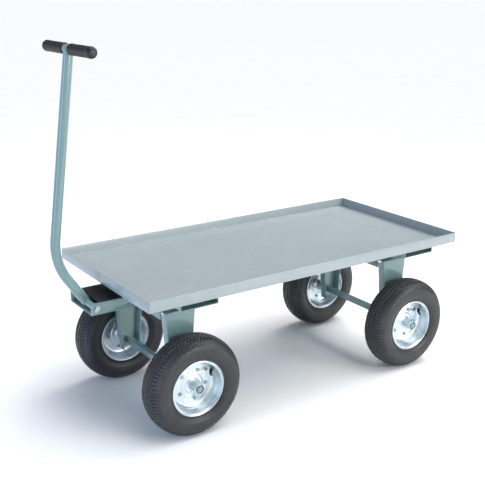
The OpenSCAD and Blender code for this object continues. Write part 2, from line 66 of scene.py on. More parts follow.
class Body(Enum):
    """The moving bodies of the wagon."""

    CHASSIS = "chassis"
    STEERING = "steering_unit"
    HANDLE = "handle"
    FRONT_LEFT = "front_left_wheel"
    FRONT_RIGHT = "front_right_wheel"
    REAR_LEFT = "rear_left_wheel"
    REAR_RIGHT = "rear_right_wheel"


class Slot(Enum):
    """The record's material slots."""

    DECK = "deck_enamel"
    FRAME = "frame_enamel"
    RACE = "race_enamel"
    COVER = "black_cover"
    FASTENER = "zinc_fasteners"
    RIM = "zinc_rim"
    STEEL = "bright_steel"
    TYRE = "tyre_rubber"
    TUBE = "tube_rubber"
    GRIP = "grip_vinyl"


class Side(Enum):
    """The side of the wagon that a paired piece is on."""

    LEFT = 1
    RIGHT = -1


# ---------------------------------------------------------------- finishes


def linear(colour: Colour) -> tuple[float, float, float, float]:
    """Turns an sRGB colour of 0 to 255 into a linear RGBA colour.

    Args:
        colour: Red, green and blue, each from 0 to 255.

    Returns:
        The same colour as linear RGBA.
    """

    def channel(value: float) -> float:
        """Returns one channel, linear."""
        v = value / 255
        return v / 12.92 if v <= 0.04045 else ((v + 0.055) / 1.055) ** 2.4

    return (*(channel(v) for v in colour), 1.0)


class Nodes:
    """A short way to write a material's node tree."""

    def __init__(self, name: str) -> None:
        """Starts an empty material with its shader.

        Args:
            name: The material's name.
        """
        self.material = bpy.data.materials.new(name)
        self.material.use_nodes = True
        self.tree = self.material.node_tree
        self.shader = self.tree.nodes["Principled BSDF"]
        self.coords = self.tree.nodes.new("ShaderNodeTexCoord").outputs["Object"]

    def feed(self, node: bpy.types.Node, **values: Value) -> bpy.types.Node:
        """Sets or links a node's inputs.

        Args:
            node: The node.
            values: A value or a socket for each input, with _ for a space in its name.

        Returns:
            The node.
        """
        for key, value in values.items():
            socket = node.inputs[key.replace("_", " ")]
            if isinstance(value, bpy.types.NodeSocket):
                self.tree.links.new(value, socket)
            else:
                socket.default_value = value
        return node

    def add(self, kind: str, **values: Value) -> bpy.types.Node:
        """Adds a node of a kind and feeds its inputs."""
        return self.feed(self.tree.nodes.new("ShaderNode" + kind), **values)

    def shade(self, **values: Value) -> None:
        """Feeds the shader's own inputs."""
        self.feed(self.shader, **values)

    def noise(self, scale: float, detail: float = 3.0, rough: float = 0.5,
              stretch: Sequence[float] = (1, 1, 1)) -> bpy.types.NodeSocket:
        """Adds a noise texture in object space.

        Args:
            scale: Features per metre, roughly.
            detail: Octaves of finer noise.
            rough: Strength of the finer octaves.
            stretch: Scale of each axis.

        Returns:
            The noise, around 0.5.
        """
        place = self.add("Mapping", Scale=stretch, Vector=self.coords).outputs["Vector"]
        node = self.add("TexNoise", Scale=scale, Detail=detail, Roughness=rough, Vector=place)
        return node.outputs["Fac"]

    def ramp(self, source: bpy.types.NodeSocket,
             stops: Sequence[tuple[float, tuple[float, ...]]]) -> bpy.types.NodeSocket:
        """Maps a value to colours.

        Args:
            source: The value.
            stops: Positions from 0 to 1 with their RGBA colours.

        Returns:
            The colour.
        """
        node = self.add("ValToRGB", Fac=source)
        bar = node.color_ramp
        for i, (at, colour) in enumerate(stops):
            stop = bar.elements[i] if i < 2 else bar.elements.new(at)
            stop.position = at
            stop.color = colour
        return node.outputs["Color"]

    def spread(self, source: bpy.types.NodeSocket, low: float, high: float,
               start: float = 0.3, end: float = 0.7) -> bpy.types.NodeSocket:
        """Spreads a value over a new range.

        Args:
            source: The value.
            low: Result at start.
            high: Result at end.
            start: Value that gives low.
            end: Value that gives high.

        Returns:
            The new value.
        """
        node = self.add("MapRange", Value=source, From_Min=start, From_Max=end, To_Min=low, To_Max=high)
        return node.outputs["Result"]

    def mix(self, share: bpy.types.NodeSocket, a: Value, b: Value) -> bpy.types.NodeSocket:
        """Mixes two colours.

        Args:
            share: How much of b there is.
            a: First colour.
            b: Second colour.

        Returns:
            The mixed colour.
        """
        node = self.tree.nodes.new("ShaderNodeMix")
        node.data_type = "RGBA"
        return self.feed(node, Factor=share, A=a, B=b).outputs["Result"]

    def bump(self, *layers: tuple[bpy.types.NodeSocket, float, float]) -> None:
        """Adds layers of bump to the shader.

        Args:
            layers: Height, distance in metres and strength of each layer.
        """
        normal = None
        for height, distance, strength in layers:
            node = self.add("Bump", Distance=distance, Strength=strength, Height=height)
            if normal is not None:
                self.feed(node, Normal=normal)
            normal = node.outputs["Normal"]
        self.shade(Normal=normal)


@dataclass(frozen=True)
class Enamel:
    """Gloss enamel sprayed over steel sheet, with orange peel, thin rubs and a few scratches."""

    name: str
    colour: Colour
    shade: Colour
    roughness: float = 0.2
    coat: float = 0.6
    peel: float = 0.00003
    wave: float = 0.0

    def make(self) -> bpy.types.Material:
        """Returns the finish as a material."""
        n = Nodes(self.name)
        base = n.ramp(n.noise(1.7, 3, 0.5), [(0.35, linear(self.shade)), (0.65, linear(self.colour))])
        pale = tuple(min(255, c * 1.12 + 8) for c in self.colour)
        rubbed = n.spread(n.noise(6, 6, 0.7), 0.0, 0.16, 0.6, 0.8)
        base = n.mix(rubbed, base, linear(pale))
        scratch = n.noise(34, 2, 0.5, (0.05, 1.0, 1.0))
        base = n.mix(n.spread(scratch, 0.0, 0.3, 0.76, 0.8), base, linear(pale))
        n.shade(Base_Color=base, IOR=1.52, Coat_Weight=self.coat, Coat_Roughness=0.06,
                Roughness=n.spread(n.noise(14, 3, 0.5), self.roughness * 0.9, self.roughness * 1.2))
        layers = [(n.noise(420, 2, 0.5), self.peel, 0.3)]
        if self.wave:
            layers.insert(0, (n.noise(3, 1, 0.3), self.wave, 0.5))
        n.bump(*layers)
        return n.material


@dataclass(frozen=True)
class ZincPlate:
    """Bright zinc plate over pressed or turned steel, with a faint bluish bloom."""

    name: str
    colour: Colour = (218, 226, 230)
    bloom: Colour = (196, 210, 218)
    roughness: float = 0.3

    def make(self) -> bpy.types.Material:
        """Returns the finish as a material."""
        n = Nodes(self.name)
        base = n.ramp(n.noise(11, 4, 0.55), [(0.35, linear(self.bloom)), (0.62, linear(self.colour))])
        spots = n.spread(n.noise(150, 3, 0.6), 0.0, 0.2, 0.62, 0.75)
        base = n.mix(spots, base, linear(self.bloom))
        n.shade(Base_Color=base, Metallic=1.0,
                Roughness=n.spread(n.noise(26, 4, 0.6), self.roughness * 0.75, self.roughness * 1.5))
        n.bump((n.noise(240, 3, 0.6), 0.00004, 0.2), (n.noise(22, 1, 0.3), 0.0003, 0.2))
        return n.material


@dataclass(frozen=True)
class TyreRubber:
    """Moulded tyre rubber, dusty in its hollows and slightly worn on the tread."""

    name: str
    colour: Colour = (22, 23, 26)
    dust: Colour = (38, 40, 45)

    def make(self) -> bpy.types.Material:
        """Returns the finish as a material."""
        n = Nodes(self.name)
        base = n.ramp(n.noise(14, 5, 0.62), [(0.3, linear(self.colour)), (0.72, linear(self.dust))])
        fine = n.spread(n.noise(260, 3, 0.6), 0.0, 0.35, 0.45, 0.75)
        n.shade(Base_Color=n.mix(fine, base, linear(self.colour)), Specular_IOR_Level=0.6,
                Roughness=n.spread(n.noise(60, 3, 0.5), 0.34, 0.52))
        n.bump((n.noise(700, 3, 0.6), 0.00008, 0.35), (n.noise(90, 2, 0.5), 0.0002, 0.25))
        return n.material


@dataclass(frozen=True)
class Vinyl:
    """Moulded vinyl or soft rubber with a fine grain."""

    name: str
    colour: Colour = (17, 19, 29)
    shade: Colour = (17, 18, 25)
    roughness: float = 0.42
    grain: float = 0.00012

    def make(self) -> bpy.types.Material:
        """Returns the finish as a material."""
        n = Nodes(self.name)
        base = n.ramp(n.noise(22, 4, 0.6), [(0.3, linear(self.shade)), (0.7, linear(self.colour))])
        n.shade(Base_Color=base,
                Roughness=n.spread(n.noise(120, 3, 0.5), self.roughness * 0.8, self.roughness * 1.3))
        n.bump((n.noise(900, 2, 0.5), self.grain, 0.5))
        return n.material


@dataclass(frozen=True)
class TurnedSteel:
    """Turned or ground steel with fine rings of tool marks and a film of oil."""

    name: str
    colour: Colour = (158, 162, 164)
    shade: Colour = (112, 116, 120)
    roughness: float = 0.3

    def make(self) -> bpy.types.Material:
        """Returns the finish as a material."""
        n = Nodes(self.name)
        base = n.ramp(n.noise(30, 5, 0.6), [(0.35, linear(self.shade)), (0.68, linear(self.colour))])
        marks = n.noise(90, 3, 0.6, (1, 9, 1))
        n.shade(Base_Color=base, Metallic=1.0,
                Roughness=n.spread(marks, self.roughness * 0.7, self.roughness * 1.5))
        n.bump((n.noise(600, 2, 0.5, (1, 12, 1)), 0.00005, 0.4))
        return n.material


def make_finishes() -> dict[Slot, bpy.types.Material]:
    """Returns every finish of the wagon, each made once, by the slot that it belongs to."""
    finishes = {
        # The deck gets a paler, greyer copy of the frame's grey-green paint. This is painted glare: it
        # stands in for the overhead light that the glossy deck reflects at the camera's low angle.
        Slot.DECK: Enamel("deck enamel with painted glare", (150, 160, 165), (144, 156, 159), 0.24, 0.45, 0.00002, 0.0005),
        Slot.FRAME: Enamel("frame enamel", (118, 146, 144), (108, 138, 138)),
        Slot.RACE: Enamel("race enamel", (50, 58, 62), (40, 46, 50), 0.45, 0.1),
        Slot.COVER: Enamel("black cover paint", (8, 8, 11), (5, 5, 7), 0.7, 0.0),
        Slot.RIM: ZincPlate("zinc plate"),
        Slot.FASTENER: ZincPlate("fastener zinc", (176, 186, 190), (136, 150, 158), 0.28),
        Slot.TYRE: TyreRubber("tyre rubber"),
        Slot.TUBE: Vinyl("valve rubber", (22, 23, 26), (14, 15, 17), 0.5, 0.0001),
        Slot.GRIP: Vinyl("grip vinyl"),
        Slot.STEEL: TurnedSteel("turned steel"),
    }
    return {slot: finish.make() for slot, finish in finishes.items()}


# ---------------------------------------------------------------- mesh building


def fillet(corners: Sequence[tuple[float, float, float]], steps: int = 5) -> list[Point]:
    """Rounds the corners of a closed outline.

    Args:
        corners: x, y and corner radius of each corner, in order.
        steps: Straight pieces in each rounded corner.

    Returns:
        The outline's points.
    """
    points: list[Point] = []
    count = len(corners)
    for i, (x, y, r) in enumerate(corners):
        here = Vector((x, y))
        if r <= 0:
            points.append((x, y))
            continue
        to_last = (Vector(corners[i - 1][:2]) - here).normalized()
        to_next = (Vector(corners[(i + 1) % count][:2]) - here).normalized()
        half = to_last.angle(to_next) / 2
        centre = here + (to_last + to_next).normalized() * (r / math.sin(half))
        start = here + to_last * (r / math.tan(half)) - centre
        turn = start.angle_signed(here + to_next * (r / math.tan(half)) - centre)
        for k in range(steps + 1):
            a = -turn * k / steps
            points.append((centre.x + start.x * math.cos(a) - start.y * math.sin(a),
                           centre.y + start.x * math.sin(a) + start.y * math.cos(a)))
    return points


def loft(rings: Sequence[Sequence[Vector]], closed: bool = False, caps: bool = True) -> bmesh.types.BMesh:
    """Skins a row of rings that have the same number of points.

    Args:
        rings: The rings, in order; each is a closed loop.
        closed: Whether the last ring joins the first.
        caps: Whether the open ends are filled.

    Returns:
        The mesh.
    """
    bm = bmesh.new()
    made = [[bm.verts.new(p) for p in ring] for ring in rings]
    count = len(rings[0])
    spans = len(made) if closed else len(made) - 1
    for i in range(spans):
        a, b = made[i], made[(i + 1) % len(made)]
        for k in range(count):
            m = (k + 1) % count
            bm.faces.new((a[k], a[m], b[m], b[k]))
    if caps and not closed:
        bm.faces.new(list(reversed(made[0])))
        bm.faces.new(made[-1])
    bmesh.ops.recalc_face_normals(bm, faces=bm.faces)
    return bm


def revolve(profile: Sequence[Point], segments: int = 96,
            shift: Callable[[float, float, float], float] | None = None) -> bmesh.types.BMesh:
    """Turns a closed outline about the Z axis.

    Args:
        profile: Radius and height of each point of the closed outline.
        segments: Steps round the axis.
        shift: Optional radial shift for a radius, height and angle.

    Returns:
        The mesh.
    """
    rings = []
    for i in range(segments):
        a = 2 * math.pi * i / segments
        ring = []
        for r, z in profile:
            radius = r + (shift(r, z, a) if shift else 0.0)
            ring.append(Vector((radius * math.cos(a), radius * math.sin(a), z)))
        rings.append(ring)
    bm = loft(rings, closed=True)
    bmesh.ops.remove_doubles(bm, verts=bm.verts, dist=1e-6)
    return bm


def prism(outline: Sequence[Point], low: float, high: float) -> bmesh.types.BMesh:
    """Extrudes a closed outline along Z.

    Args:
        outline: x and y of each point.
        low: Height of the lower face.
        high: Height of the upper face.

    Returns:
        The mesh.
    """
    return loft([[Vector((x, y, z)) for x, y in outline] for z in (low, high)])


def box(low: Vector, high: Vector, edge: float = 0.8 * MM) -> bmesh.types.BMesh:
    """Makes a box with every edge rounded.

    Args:
        low: Lowest corner.
        high: Highest corner.
        edge: Width of the rounded edges.

    Returns:
        The mesh.
    """
    bm = bmesh.new()
    bmesh.ops.create_cube(bm, size=1)
    for v in bm.verts:
        v.co = Vector(low[i] + (v.co[i] + 0.5) * (high[i] - low[i]) for i in range(3))
    round_edges(bm, edge)
    return bm


def round_edges(bm: bmesh.types.BMesh, width: float, steps: int = 2, least: float = 35.0) -> None:
    """Rounds the sharp edges of a mesh.

    Args:
        bm: The mesh.
        width: Width of each rounded edge.
        steps: Strips in each rounded edge.
        least: Smallest angle in degrees that counts as sharp.
    """
    sharp = [e for e in bm.edges if len(e.link_faces) == 2 and e.calc_face_angle(0) > math.radians(least)]
    bmesh.ops.bevel(bm, geom=sharp, offset=width, segments=steps, profile=0.5, affect="EDGES",
                    clamp_overlap=True)


def sweep(path: Sequence[Vector], section: Callable[[float, int], Sequence[Point]],
          side: Vector, caps: bool = True) -> bmesh.types.BMesh:
    """Sweeps a section along a path that stays square to a side direction.

    Args:
        path: Points of the centre line.
        section: Gives the section's points for a share of the length and a point's number.
        side: The section's first direction, square to the path.
        caps: Whether the ends are filled.

    Returns:
        The mesh.
    """
    rings = []
    last = len(path) - 1
    for i, p in enumerate(path):
        ahead = (path[min(i + 1, last)] - path[max(i - 1, 0)]).normalized()
        across = side.normalized()
        up = ahead.cross(across).normalized()
        rings.append([p + across * a + up * b for a, b in section(i / last, i)])
    return loft(rings, caps=caps)


def circle(radius: float, steps: int = 40, squeeze: float = 1.0) -> list[Point]:
    """Returns a round or oval section, squeezed along its first direction."""
    return [(radius * squeeze * math.cos(2 * math.pi * k / steps),
             radius * math.sin(2 * math.pi * k / steps)) for k in range(steps)]


def join(*parts: bmesh.types.BMesh) -> bmesh.types.BMesh:
    """Joins meshes into the first one.

    Args:
        parts: The meshes; all but the first are freed.

    Returns:
        The first mesh, holding all of them.
    """
    first = parts[0]
    for part in parts[1:]:
        spare = bpy.data.meshes.new("spare")
        part.to_mesh(spare)
        part.free()
        first.from_mesh(spare)
        bpy.data.meshes.remove(spare)
    return first


def moved(bm: bmesh.types.BMesh, matrix: Matrix) -> bmesh.types.BMesh:
    """Moves a mesh by a matrix and returns it."""
    bmesh.ops.transform(bm, matrix=matrix, verts=bm.verts)
    return bm


def hex_head(across: float, height: float) -> bmesh.types.BMesh:
    """Makes a hexagon head with its corners chamfered, standing on z = 0.

    Args:
        across: Distance across the corners.
        height: Height of the head.

    Returns:
        The mesh.
    """
    chamfer = height * 0.18
    rings = []
    for z, share in ((0, 1.0), (height - chamfer, 1.0), (height, 0.86)):
        rings.append([Vector((across / 2 * share * math.cos(math.radians(60 * k)),
                              across / 2 * share * math.sin(math.radians(60 * k)), z)) for k in range(6)])
    bm = loft(rings)
    round_edges(bm, across * 0.02, 2, 20)
    return bm


def washer(outer: float, inner: float, thick: float) -> bmesh.types.BMesh:
    """Makes a flat washer with softened edges, standing on z = 0."""
    soft = thick * 0.25
    corners = [(inner, 0, soft), (outer, 0, soft), (outer, thick, soft), (inner, thick, soft)]
    return revolve(fillet(corners, 2), 48)


def weld(path: Sequence[Vector], size: float, turns: float = 500.0) -> bmesh.types.BMesh:
    """Makes a weld bead: a thin rope of overlapping scales.

    Args:
        path: The line that the bead follows.
        size: Radius of the bead.
        turns: Scales per metre.

    Returns:
        The mesh.
    """
    points = [path[0]]
    for a, b in zip(path, path[1:]):
        count = max(1, round((b - a).length / (0.5 / turns)))
        points += [a.lerp(b, k / count) for k in range(1, count + 1)]
    rings = []
    for i, p in enumerate(points):
        ahead = (points[min(i + 1, len(points) - 1)] - points[max(i - 1, 0)]).normalized()
        across = ahead.orthogonal().normalized()
        up = ahead.cross(across)
        r = size * (1.0 if i % 2 else 0.82) * (0.3 if i in (0, len(points) - 1) else 1)
        rings.append([p + across * a + up * b for a, b in circle(r, 8)])
    return loft(rings)


def finished_mesh(name: str, bm: bmesh.types.BMesh) -> bpy.types.Mesh:
    """Turns a working mesh into a finished one, and frees it."""
    mesh = bpy.data.meshes.new(name)
    bm.to_mesh(mesh)
    bm.free()
    return mesh


def placed(name: str, data: bpy.types.ID) -> bpy.types.Object:
    """Links a new object to the scene."""
    thing = bpy.data.objects.new(name, data)
    bpy.context.scene.collection.objects.link(thing)
    return thing


class Workshop:
    """Turns meshes into dressed pieces that ride on the wagon's bodies."""

    def __init__(self) -> None:
        """Mixes the finishes and starts with no pieces made."""
        self.finishes = make_finishes()
        self.made = 0

    def piece(self, name: str, shape: bmesh.types.BMesh | bpy.types.Mesh, body: Body, slot: Slot,
              replaces: Sequence[str] = (), smooth: float = 32.0,
              place: Matrix | None = None) -> bpy.types.Object:
        """Links a mesh as a piece of the wagon.

        Args:
            name: The piece's name.
            shape: A working mesh, which is freed, or a finished mesh, which may be shared.
            body: The body that it rides on.
            slot: The record's slot, which gives its finish.
            replaces: CAD nodes that it stands for.
            smooth: Edges under this many degrees are shaded smooth.
            place: Where the piece goes, if its mesh is in its own frame.

        Returns:
            The piece.
        """
        mesh = finished_mesh(name, shape) if isinstance(shape, bmesh.types.BMesh) else shape
        if not mesh.materials:
            mesh.materials.append(self.finishes[slot])
            mesh.shade_smooth()
            mesh.set_sharp_from_angle(angle=math.radians(smooth))
        piece = placed(name, mesh)
        if place is not None:
            piece.matrix_world = place
        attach(piece, body.value)
        if replaces:
            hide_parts(*replaces)
        self.made += 1
        log.info("made %s on %s", name, body.value)
        return piece

    def welds(self, name: str, beads: Sequence[bmesh.types.BMesh], body: Body,
              slot: Slot = Slot.FRAME) -> None:
        """Links a group of weld beads as one painted piece."""
        self.piece(name, join(*beads), body, slot, smooth=60)

    def dress(self, node: str, slot: Slot) -> None:
        """Gives a CAD node that stays the finish of its slot.

        Args:
            node: The node's name.
            slot: The record's slot, which gives its finish.
        """
        piece = frame["nodes"][node]
        piece.data.materials.clear()
        piece.data.materials.append(self.finishes[slot])
        log.info("dressed %s", node)


def centre(node: str) -> Vector:
    """Returns the middle of a CAD node's box."""
    low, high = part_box(node)
    return (low + high) / 2


def joint_at(name: str) -> Vector:
    """Returns the place of a joint."""
    return Vector(next(j["pos_m"] for j in frame["joints"] if j["name"] == name))


def facing_y(at: Vector, side: Side) -> Matrix:
    """Places a mesh made about Z so that its axis points out of one side of the wagon.

    Args:
        at: Where the mesh's origin goes.
        side: The side that its +Z points to.

    Returns:
        The placing matrix.
    """
    return (Matrix.Translation(at) @ Matrix.Rotation(0 if side is Side.LEFT else math.pi, 4, "Z")
            @ Matrix.Rotation(-math.pi / 2, 4, "X"))


# ---------------------------------------------------------------- sub-assemblies


@dataclass
class DeckTray:
    """The tray: one sheet with its four edges turned up into a lip."""

    shop: Workshop
    corner_r: float = 7 * MM
    bend_r: float = 4.5 * MM
    corner_steps: int = 8

    def loop(self, low: Vector, high: Vector, inset: float, z: float) -> list[Vector]:
        """Returns one rounded-rectangle loop of the tray, inset from its outside, at height z."""
        r = max(self.corner_r - inset, 0.8 * MM)
        points = []
        for k, (sx, sy) in enumerate(((1, 1), (-1, 1), (-1, -1), (1, -1))):
            cx = (high.x if sx > 0 else low.x) - sx * (inset + r)
            cy = (high.y if sy > 0 else low.y) - sy * (inset + r)
            for i in range(self.corner_steps + 1):
                a = math.radians(90 * k + 90 * i / self.corner_steps)
                points.append(Vector((cx + r * math.cos(a), cy + r * math.sin(a), z)))
        return points

    def build(self) -> None:
        """Builds the tray and its corner welds."""
        low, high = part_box("deck_tray")
        sheet = 3 * MM
        height = high.z - low.z
        bend, edge = self.bend_r, 0.9 * MM
        levels = [(bend, 0.0)]
        levels += [(bend * (1 - math.sin(a)), bend * (1 - math.cos(a)))
                   for a in (math.radians(d) for d in (22.5, 45, 67.5, 90))]
        levels += [(0.0, height - edge), (0.3 * edge, height - 0.3 * edge), (edge, height),
                   (sheet - edge, height), (sheet - 0.3 * edge, height - 0.3 * edge), (sheet, height - edge)]
        inner = bend * 0.55
        levels += [(sheet + inner * (1 - math.cos(a)), sheet + inner * (1 - math.sin(a)))
                   for a in (math.radians(d) for d in (0, 30, 60, 90))]
        rings = [self.loop(low, high, inset, low.z + z) for inset, z in levels]
        self.shop.piece("deck_tray_sheet", loft(rings), Body.CHASSIS, Slot.DECK,
                        ["deck_tray"])
        beads = []
        for sx in (-1, 1):
            for sy in (-1, 1):
                corner = Vector(((high.x if sx > 0 else low.x) - sx * (sheet + 1.4 * MM),
                                 (high.y if sy > 0 else low.y) - sy * (sheet + 1.4 * MM), 0))
                beads.append(weld([corner + Vector((0, 0, low.z + 5 * MM)),
                                   corner + Vector((0, 0, high.z - 2.5 * MM))], 1.6 * MM, 360))
        self.shop.welds("deck_corner_welds", beads, Body.CHASSIS, Slot.DECK)


@dataclass
class CrossMember:
    """A shallow channel across the wagon, open upwards under the tray."""

    shop: Workshop
    name: str
    sheet: float = 3 * MM
    bend_r: float = 5 * MM

    def build(self) -> None:
        """Builds the channel and the stitches of weld that hold it to the tray."""
        low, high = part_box(self.name)
        half = (high.x - low.x) / 2
        mid = centre(self.name)
        height = high.z - low.z
        t = self.sheet
        outline = fillet([
            (-half, height, 0.8 * MM), (-half, 0, self.bend_r), (half, 0, self.bend_r),
            (half, height, 0.8 * MM), (half - t, height, 0.8 * MM), (half - t, t, self.bend_r - t),
            (t - half, t, self.bend_r - t), (t - half, height, 0.8 * MM),
        ])
        bm = prism(outline, low.y, high.y)
        ends = [e for e in bm.edges if all(abs(abs(v.co.z) - high.y) < 1e-6 for v in e.verts)]
        bmesh.ops.bevel(bm, geom=ends, offset=0.5 * MM, segments=2, affect="EDGES")
        turn = Matrix.Translation((mid.x, 0, low.z)) @ Matrix.Rotation(math.pi / 2, 4, "X")
        self.shop.piece(self.name + "_channel", moved(bm, turn), Body.CHASSIS,
                        Slot.FRAME, [self.name])
        beads = []
        for sx in (-1, 1):
            for y in (-0.3, -0.1, 0.1, 0.3):
                at = Vector((mid.x + sx * (half + 0.5 * MM), y, high.z - 1 * MM))
                beads.append(weld([at, at + Vector((0, 0.05, 0))], 2 * MM, 300))
        self.shop.welds(self.name + "_welds", beads, Body.CHASSIS)


@dataclass
class AxleUnit:
    """A saddle, its two tapered legs, the square beam and the shaft through the hubs."""

    shop: Workshop
    end: str
    body: Body
    plate: float = 5 * MM
    bend_r: float = 7 * MM
    flange_drop: float = 9 * MM
    slope: float = 24.5 / 275

    def leg(self, side: Side) -> None:
        """Builds one formed leg.

        Args:
            side: The side of the wagon that the leg is on.
        """
        node = f"{self.end}_leg_{side.name.lower()}"
        low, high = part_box(node)
        mid = centre(node)
        depth, t, r = high.y - low.y, self.plate, self.bend_r
        top_half = (high.x - low.x) / 2
        rings = []
        for z, drop in ((low.z, 0.0), (high.z - self.flange_drop, 0.0), (high.z, 1.0)):
            half = top_half - self.slope * (high.z - z)
            reach = depth - drop * (depth - r * 1.5)
            outline = fillet([
                (-half, reach, 0.7 * MM), (-half, 0, r), (half, 0, r), (half, reach, 0.7 * MM),
                (half - t, reach, 0.7 * MM), (half - t, t, r - t), (t - half, t, r - t),
                (t - half, reach, 0.7 * MM),
            ])
            face = high.y if side is Side.LEFT else low.y
            rings.append([Vector((mid.x + x, face - side.value * y, z)) for x, y in outline])
        self.shop.piece(node + "_channel", loft(rings), self.body, Slot.FRAME, [node])

    def saddle(self) -> None:
        """Builds the saddle: a channel whose ends roll over into the legs."""
        node = f"{self.end}_saddle"
        low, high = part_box(node)
        t, roll = self.plate, 4.6 * MM
        outline = fillet([(low.y, high.z, roll), (low.y, high.z - t, 0.2 * MM),
                          (high.y, high.z - t, 0.2 * MM), (high.y, high.z, roll)], 5)
        bm = prism(outline, low.x, high.x)
        round_edges(bm, 0.8 * MM, 2, 50)
        turn = Matrix(((0, 0, 1, 0), (1, 0, 0, 0), (0, 1, 0, 0), (0, 0, 0, 1)))
        parts = [moved(bm, turn)]
        inner = (high.y - low.y) / 2 - 40 * MM
        for x0, x1 in ((low.x, low.x + t), (high.x - t, high.x)):
            parts.append(box(Vector((x0, -inner, low.z)), Vector((x1, inner, high.z - t)), 1.2 * MM))
        self.shop.piece(node + "_pressing", join(*parts), self.body, Slot.FRAME, [node])

    def beam(self) -> None:
        """Builds the square beam, the welds at its ends and the shaft."""
        node = f"{self.end}_axle_beam"
        low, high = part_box(node)
        mid = centre(node)
        half, r = (high.x - low.x) / 2, 3.2 * MM
        outline = fillet([(-half, -half, r), (half, -half, r), (half, half, r), (-half, half, r)])
        turn = Matrix.Translation(mid) @ Matrix.Rotation(math.pi / 2, 4, "X")
        bm = moved(prism(outline, low.y, high.y), turn)
        self.shop.piece(node + "_tube", bm, self.body, Slot.FRAME, [node])
        beads = []
        for y in (low.y + 1.2 * MM, high.y - 1.2 * MM):
            ring = [mid + Vector((x, 0, z)) for x, z in outline]
            loop = [Vector((p.x, y, p.z)) for p in ring]
            beads.append(weld(loop + loop[:1], 2.4 * MM, 330))
        self.shop.welds(f"{self.end}_axle_welds", beads, self.body)
        node = f"{self.end}_axle"
        low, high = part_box(node)
        r, far = 9.5 * MM, high.y
        collar_r = (high.z - low.z) / 2
        leg_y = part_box(f"{self.end}_leg_left")[1].y
        collar = wheel_inner_face() - 0.5 * MM
        profile = [(0, -far), (r - 1 * MM, -far), (r, -far + 1 * MM), (r, -collar), (collar_r, -collar),
                   (collar_r, -leg_y), (r, -leg_y), (r, leg_y), (collar_r, leg_y), (collar_r, collar),
                   (r, collar), (r, far - 1 * MM), (r - 1 * MM, far), (0, far)]
        bm = moved(revolve(profile, 48), facing_y(centre(node), Side.LEFT))
        self.shop.piece(node + "_shaft", bm, self.body, Slot.STEEL, [node])

    def caps(self) -> None:
        """Builds the painted caps on the ends of the shaft."""
        node = f"{self.end}_axle_caps"
        low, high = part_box(node)
        mid = centre(node)
        r = (high.z - low.z) / 2
        depth = 11 * MM
        parts = []
        for side in Side:
            profile = fillet([(0, 0, 0), (r, 0, 0.3 * MM), (r, depth - 0.4 * MM, 2 * MM),
                              (r * 0.5, depth, 1 * MM), (0, depth, 0)], 4)
            at = Vector((mid.x, side.value * (high.y - depth), mid.z))
            parts.append(moved(revolve(profile, 48), facing_y(at, side)))
        self.shop.piece(node + "_domed", join(*parts), self.body, Slot.FRAME, [node])

    def build(self) -> None:
        """Builds the whole unit."""
        for side in Side:
            self.leg(side)
        self.saddle()
        self.beam()
        self.caps()


def wheel_inner_face() -> float:
    """Returns how far the inner ends of the hubs are from the wagon's middle."""
    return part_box("front_left_hub")[0].y


@dataclass
class RearSpacer:
    """The open box section between the rear saddle and its cross member."""

    shop: Workshop
    wall: float = 5 * MM

    def build(self) -> None:
        """Builds the box section."""
        low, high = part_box("rear_spacer")
        mid = centre("rear_spacer")
        half, height = (high.x - low.x) / 2, (high.z - low.z) / 2
        outer = fillet([(-half, -height, 6 * MM), (half, -height, 6 * MM), (half, height, 6 * MM),
                        (-half, height, 6 * MM)])
        inner = fillet([(x * (half - self.wall), z * (height - self.wall), 2 * MM)
                        for x, z in ((-1, -1), (1, -1), (1, 1), (-1, 1))])
        rings = [[Vector((mid.x + x, y, mid.z + z)) for x, z in outline]
                 for outline, y in ((outer, low.y), (outer, high.y), (inner, high.y), (inner, low.y))]
        self.shop.piece("rear_spacer_box", loft(rings, closed=True), Body.CHASSIS,
                        Slot.FRAME, ["rear_spacer"])


@dataclass
class Turntable:
    """The two race plates, their balls and bolts, and the king bolt."""

    shop: Workshop

    def build(self) -> None:
        """Rounds the plates' edges and dresses the pieces that lie between them."""
        low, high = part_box("upper_race")
        self.shop.piece("upper_race_plate", box(low, high, 0.7 * MM), Body.CHASSIS,
                        Slot.RACE, ["upper_race"])
        low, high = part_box("lower_race")
        r, t = (high.x - low.x) / 2, high.z - low.z
        groove = 78 * MM
        profile = [(11 * MM, 0), (r - 0.5 * MM, 0), (r, 0.5 * MM), (r, t - 0.5 * MM), (r - 0.5 * MM, t),
                   (groove + 3 * MM, t), (groove, t - 1.8 * MM), (groove - 3 * MM, t), (11 * MM, t)]
        at = Matrix.Translation((centre("lower_race").x, 0, low.z))
        self.shop.piece("lower_race_plate", revolve(profile, 96), Body.STEERING, Slot.RACE,
                        ["lower_race"], place=at)
        for node in ("turntable_bolts", "king_bolt", "king_nut"):
            self.shop.dress(node, Slot.FASTENER)
        self.shop.dress("race_balls", Slot.STEEL)


